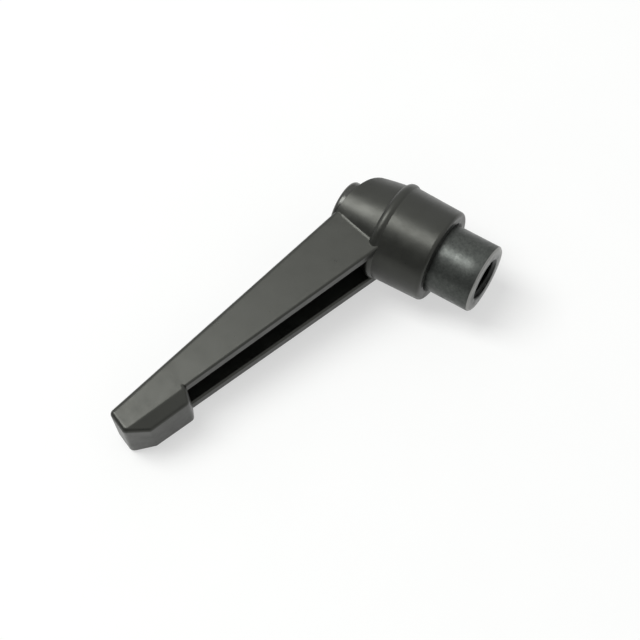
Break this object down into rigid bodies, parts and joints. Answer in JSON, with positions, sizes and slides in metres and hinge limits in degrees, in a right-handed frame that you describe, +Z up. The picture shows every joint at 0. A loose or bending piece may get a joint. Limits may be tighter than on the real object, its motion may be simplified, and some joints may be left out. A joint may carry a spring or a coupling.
{
  "type": "adjustable clamping lever",
  "caption": "Adjustable clamping lever: moulded handle on a toothed steel bushing with an M10 tapped end, lifted against a spring to set its angle.",
  "frame": {"origin": "centre of the threaded hole's mouth, on the end face of the steel bushing", "axes": "+Y up the hub axis towards the screw head, -X along the arm, +Z up from the surface that the lever lies on"},
  "size_m": [0.0821, 0.0503, 0.0228],
  "materials": {
    "plastic": "fine matt moulded grain, dark grey",
    "steel": "black oxide over turned steel",
    "screw_steel": "black oxide, smooth",
    "spring_steel": "bright spring wire"
  },
  "bodies": {
    "bushing": {"threaded_bushing": "steel", "retaining_screw": "screw_steel"},
    "spring": {"return_spring": "spring_steel"},
    "handle": {"lever_handle": "plastic"}
  },
  "joints": [
    {"name": "handle_index", "type": "hinge", "parent": "bushing", "child": "spring", "pos_m": [0, 0.0233, 0], "axis": [0, 1, 0], "continuous": true},
    {"name": "handle_lift", "type": "slide", "parent": "spring", "child": "handle", "axis": [0, 1, 0], "range_m": [0, 0.0042], "stiffness_N_per_m": 1500, "springref_m": -0.004, "deforming": ["return_spring"]}
  ]
}
